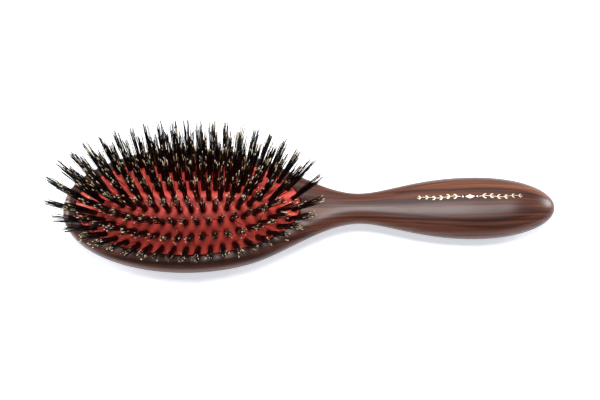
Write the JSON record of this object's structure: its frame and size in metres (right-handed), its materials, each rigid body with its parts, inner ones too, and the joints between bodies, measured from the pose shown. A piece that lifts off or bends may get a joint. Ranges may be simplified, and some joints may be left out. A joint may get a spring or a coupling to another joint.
{
  "type": "cushion hairbrush",
  "caption": "Oval wooden hairbrush with a domed rubber air cushion, nested rows of flared bristle tufts and a slim swelling handle.",
  "frame": {"origin": "on the flat of the brush's back, under the centre of the cushion", "axes": "+X from the head to the tip of the handle, +Z from the back through the bristles, +Y across the brush to complete a right-handed frame"},
  "size_m": [0.2299, 0.0691, 0.0461],
  "materials": {
    "handle_wood": "satin lacquered dark red-brown wood",
    "cushion_rubber": "matte coral red rubber",
    "boar_bristle": "glossy black natural bristle with pale tips",
    "drawing_wire": "bright drawn wire"
  },
  "bodies": {
    "brush_body": {"handle_body": "handle_wood", "cushion_pad": "cushion_rubber"},
    "outer_ring": {"tuft_row_1": "boar_bristle", "row_wire_1": "drawing_wire", "tuft_row_9": "boar_bristle", "row_wire_9": "drawing_wire"},
    "second_ring": {"tuft_row_2": "boar_bristle", "row_wire_2": "drawing_wire", "tuft_row_8": "boar_bristle", "row_wire_8": "drawing_wire"},
    "third_ring": {"tuft_row_3": "boar_bristle", "row_wire_3": "drawing_wire", "tuft_row_7": "boar_bristle", "row_wire_7": "drawing_wire"},
    "inner_ring": {"tuft_row_4": "boar_bristle", "row_wire_4": "drawing_wire", "tuft_row_6": "boar_bristle", "row_wire_6": "drawing_wire"},
    "centre_row": {"tuft_row_5": "boar_bristle", "row_wire_5": "drawing_wire"}
  },
  "joints": [
    {"name": "cushion_press", "type": "slide", "parent": "brush_body", "child": "centre_row", "axis": [0, 0, -1], "range_m": [0, 0.0045], "stiffness_N_per_m": 2500, "springref_m": -0.0002, "deforming": ["cushion_pad"]},
    {"name": "outer_ring_sink", "type": "slide", "parent": "brush_body", "child": "outer_ring", "axis": [0, 0, -1], "range_m": [0, 0.0008123]},
    {"name": "second_ring_sink", "type": "slide", "parent": "brush_body", "child": "second_ring", "axis": [0, 0, -1], "range_m": [0, 0.00233]},
    {"name": "third_ring_sink", "type": "slide", "parent": "brush_body", "child": "third_ring", "axis": [0, 0, -1], "range_m": [0, 0.0035]},
    {"name": "inner_ring_sink", "type": "slide", "parent": "brush_body", "child": "inner_ring", "axis": [0, 0, -1], "range_m": [0, 0.00424]}
  ],
  "couplings": [
    {"joint": "outer_ring_sink", "follows": "cushion_press", "ratio": 0.1805},
    {"joint": "second_ring_sink", "follows": "cushion_press", "ratio": 0.5172},
    {"joint": "third_ring_sink", "follows": "cushion_press", "ratio": 0.7773},
    {"joint": "inner_ring_sink", "follows": "cushion_press", "ratio": 0.9429}
  ]
}
